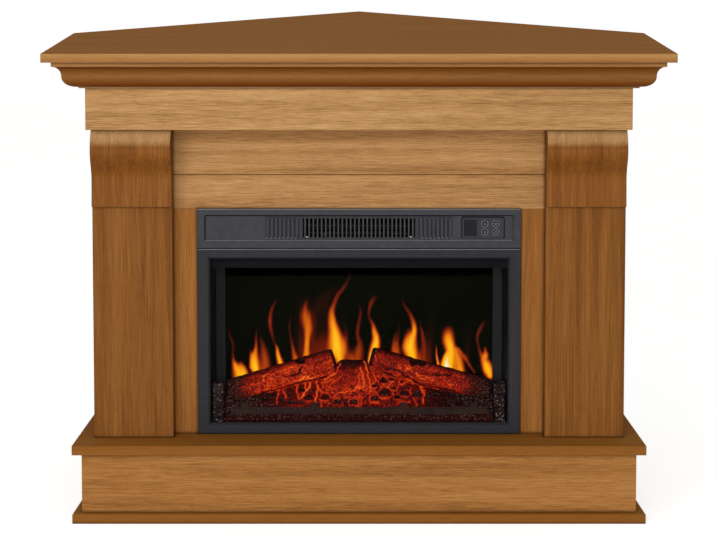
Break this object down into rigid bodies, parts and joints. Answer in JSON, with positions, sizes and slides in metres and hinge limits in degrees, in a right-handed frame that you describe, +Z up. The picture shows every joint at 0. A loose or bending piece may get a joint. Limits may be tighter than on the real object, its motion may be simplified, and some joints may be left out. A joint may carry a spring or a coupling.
{
  "type": "corner fireplace",
  "caption": "Corner mantel in oak-coloured veneer with a shelf, crown, corbels and raised hearth, holding an electric flame-effect insert with heater grille, push buttons and glowing logs.",
  "frame": {"origin": "centre of the footprint's bounding box, on the floor", "axes": "+X to the right of a viewer in front, +Y from the viewer towards the room corner, +Z up"},
  "size_m": [1.26, 1.1, 0.96],
  "materials": {
    "shelf_veneer": "open-grain veneer, satin lacquer",
    "crown_veneer": "open-grain veneer, satin lacquer",
    "front_veneer": "open-grain veneer, satin lacquer",
    "upright_veneer": "open-grain veneer, satin lacquer",
    "corbel_veneer": "open-grain veneer, satin lacquer",
    "hearth_veneer": "open-grain veneer, satin lacquer",
    "carcass_board": "plain board",
    "housing_steel": "black powder coat",
    "trim_coat": "charcoal satin powder coat",
    "grille_coat": "charcoal satin powder coat",
    "control_plastic": "fine satin",
    "window_plastic": "gloss",
    "button_plastic": "fine satin",
    "circuit_board": "solder mask",
    "clear_glass": "clear, polished",
    "black_sheet": "black satin",
    "screen_acrylic": "dark diffusing, satin",
    "ember_resin": "rough cast resin, lit from below",
    "log_resin": "rough cast resin, lit from within",
    "grate_coat": "dark brown, satin",
    "brick_resin": "rough cast resin",
    "reflector_steel": "bright",
    "motor_metal": "satin",
    "bush_bronze": "sintered",
    "light_strip": "white board with lamps",
    "galvanised_sheet": "galvanised",
    "drum_aluminium": "satin",
    "mica_board": "layered mica",
    "cutout_ceramic": "ceramic body",
    "inlet_rubber": "matt",
    "zinc_screw": "zinc plated"
  },
  "bodies": {
    "fireplace": {"top_shelf": "shelf_veneer", "crown_front": "crown_veneer", "crown_left": "crown_veneer", "crown_right": "crown_veneer", "frieze_front": "front_veneer", "frieze_left": "front_veneer", "frieze_right": "front_veneer", "frieze_soffit": "carcass_board", "upper_panel_board": "front_veneer", "lower_panel_board": "front_veneer", "left_inner_stile": "upright_veneer", "right_inner_stile": "upright_veneer", "left_pilaster": "upright_veneer", "right_pilaster": "upright_veneer", "left_corbel": "corbel_veneer", "right_corbel": "corbel_veneer", "left_side_panel": "upright_veneer", "right_side_panel": "upright_veneer", "hearth_slab": "hearth_veneer", "plinth_front": "front_veneer", "plinth_left": "front_veneer", "plinth_right": "front_veneer", "plinth_back": "carcass_board", "base_slab": "hearth_veneer", "rear_frame": "carcass_board", "firebox_housing": "housing_steel", "rear_cover": "housing_steel", "heater_shelf": "housing_steel", "heater_trim": "trim_coat", "air_grille": "grille_coat", "control_panel": "control_plastic", "display_window": "window_plastic", "control_board": "circuit_board", "glass_frame": "trim_coat", "glass_pane": "clear_glass", "side_reveals": "black_sheet", "flame_screen": "screen_acrylic", "ember_bed": "ember_resin", "left_log": "log_resin", "right_log": "log_resin", "centre_log": "log_resin", "grate_bar": "grate_coat", "end_bricks": "brick_resin", "flame_rod_motor": "motor_metal", "shaft_bushes": "bush_bronze", "light_strips": "light_strip", "blower_housing": "galvanised_sheet", "blower_motor": "motor_metal", "heating_element": "mica_board", "thermal_cutout": "cutout_ceramic", "mains_inlet": "inlet_rubber", "mounting_brackets": "galvanised_sheet", "fixing_screws": "zinc_screw"},
    "power_button": {"power_button": "button_plastic"},
    "heat_button": {"heat_button": "button_plastic"},
    "flame_button": {"flame_button": "button_plastic"},
    "timer_button": {"timer_button": "button_plastic"},
    "blower_drum": {"blower_drum": "drum_aluminium"},
    "flame_rod": {"flame_rod": "reflector_steel"}
  },
  "joints": [
    {"name": "power_press", "type": "slide", "parent": "fireplace", "child": "power_button", "axis": [0, 1, 0], "range_m": [0, 0.001], "stiffness_N_per_m": 400, "springref_m": -0.001},
    {"name": "heat_press", "type": "slide", "parent": "fireplace", "child": "heat_button", "axis": [0, 1, 0], "range_m": [0, 0.001], "stiffness_N_per_m": 400, "springref_m": -0.001},
    {"name": "flame_press", "type": "slide", "parent": "fireplace", "child": "flame_button", "axis": [0, 1, 0], "range_m": [0, 0.001], "stiffness_N_per_m": 400, "springref_m": -0.001},
    {"name": "timer_press", "type": "slide", "parent": "fireplace", "child": "timer_button", "axis": [0, 1, 0], "range_m": [0, 0.001], "stiffness_N_per_m": 400, "springref_m": -0.001},
    {"name": "blower_spin", "type": "hinge", "parent": "fireplace", "child": "blower_drum", "pos_m": [0, -0.238, 0.5736], "axis": [1, 0, 0], "continuous": true},
    {"name": "flame_rod_spin", "type": "hinge", "parent": "fireplace", "child": "flame_rod", "pos_m": [0, -0.198, 0.2405], "axis": [1, 0, 0], "continuous": true}
  ]
}
